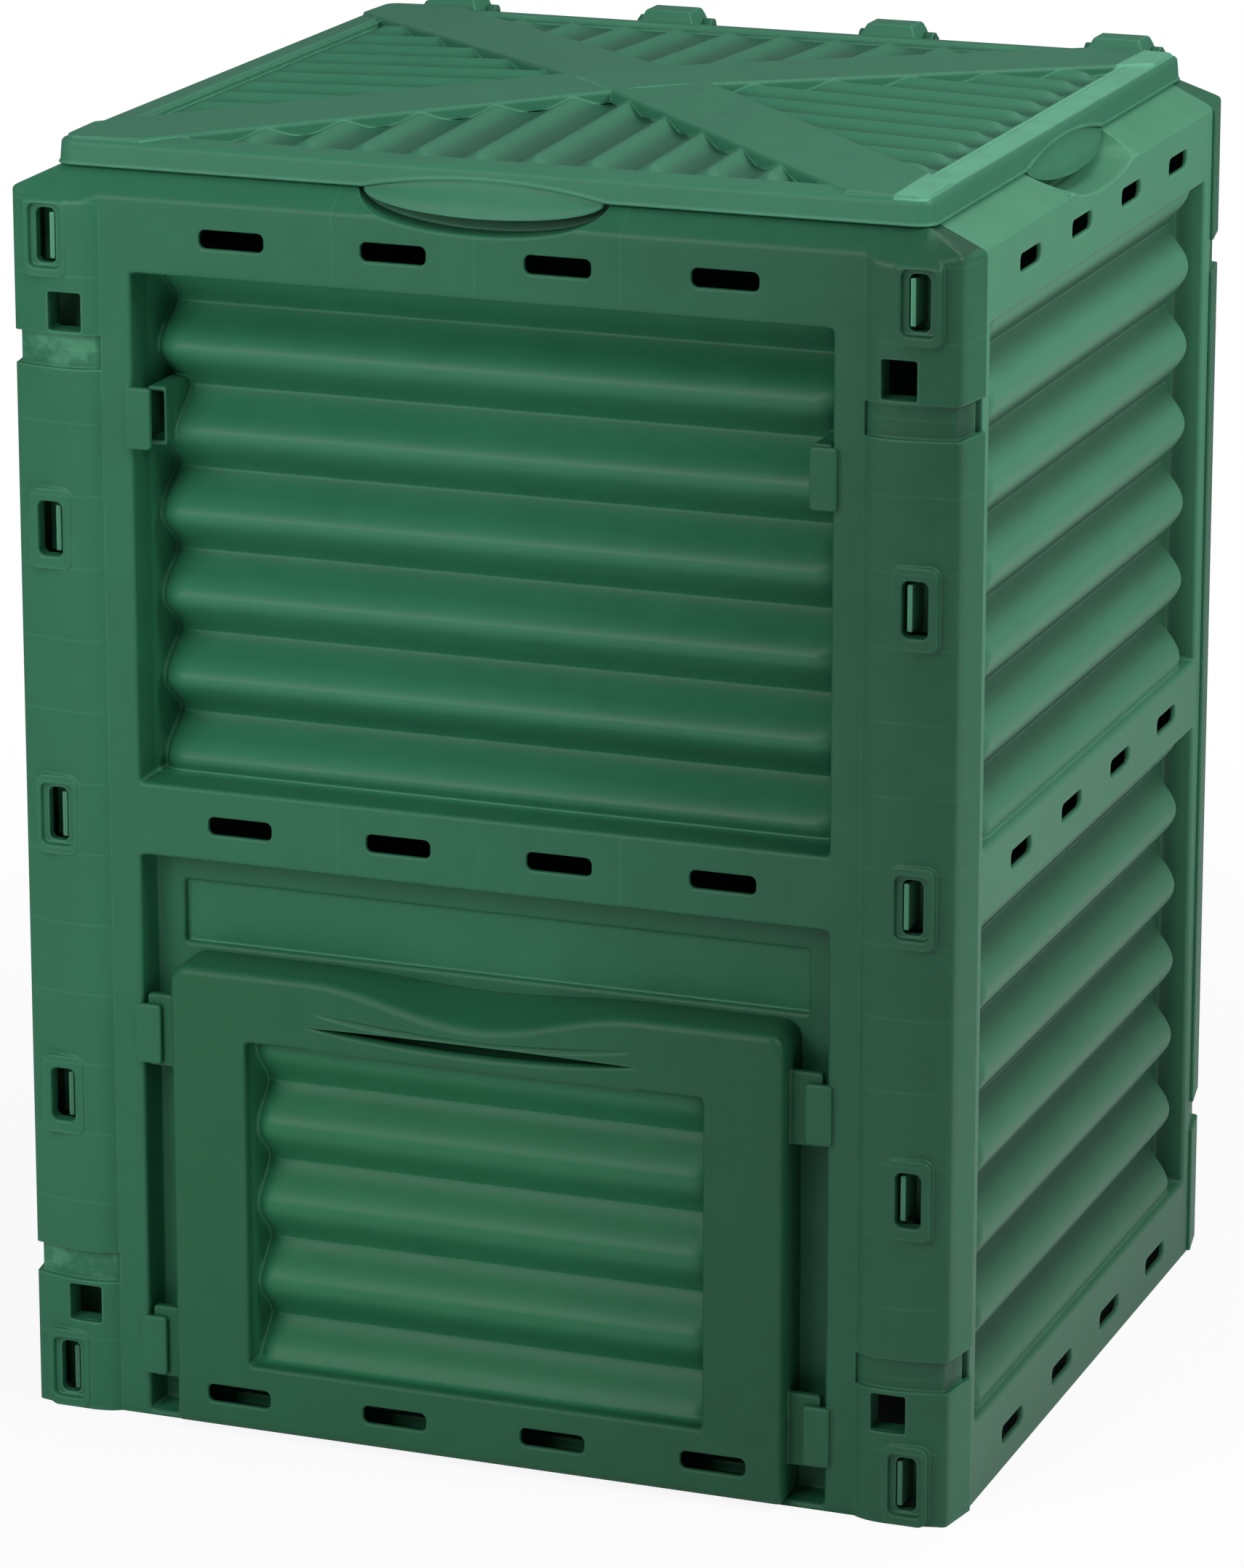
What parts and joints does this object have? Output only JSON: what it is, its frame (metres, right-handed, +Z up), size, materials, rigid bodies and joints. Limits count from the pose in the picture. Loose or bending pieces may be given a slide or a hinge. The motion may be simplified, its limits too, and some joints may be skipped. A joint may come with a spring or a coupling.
{
  "type": "compost bin",
  "caption": "Square garden compost bin of slotted, wave-ribbed walls locked at corner posts, with a hinged ribbed lid on top and a lift-up hatch low in the front wall.",
  "frame": {"origin": "centre of the footprint, at the level of the bin's lower edge", "axes": "+Z up, -Y towards the hatch, +X to the right of someone who faces the hatch"},
  "size_m": [0.61, 0.574, 0.8165],
  "materials": {
    "front": "matte, fine moulded grain",
    "back": "matte, fine moulded grain",
    "side": "matte, fine moulded grain",
    "hatch": "matte, fine moulded grain",
    "lid": "matte, fine moulded grain",
    "pin": "matte, fine moulded grain"
  },
  "bodies": {
    "bin": {"front_wall": "front", "back_wall": "back", "left_wall": "side", "right_wall": "side", "hinge_pin_1": "pin", "hinge_pin_2": "pin", "hinge_pin_3": "pin", "hinge_pin_4": "pin"},
    "lid": {"lid": "lid"},
    "hatch": {"hatch": "hatch"}
  },
  "joints": [
    {"name": "lid_hinge", "type": "hinge", "parent": "bin", "child": "lid", "pos_m": [0, 0.281, 0.7985], "axis": [-1, 0, 0], "range_deg": [0, 100]},
    {"name": "hatch_slide", "type": "slide", "parent": "bin", "child": "hatch", "axis": [0, 0, 1], "range_m": [0, 0.062]}
  ]
}
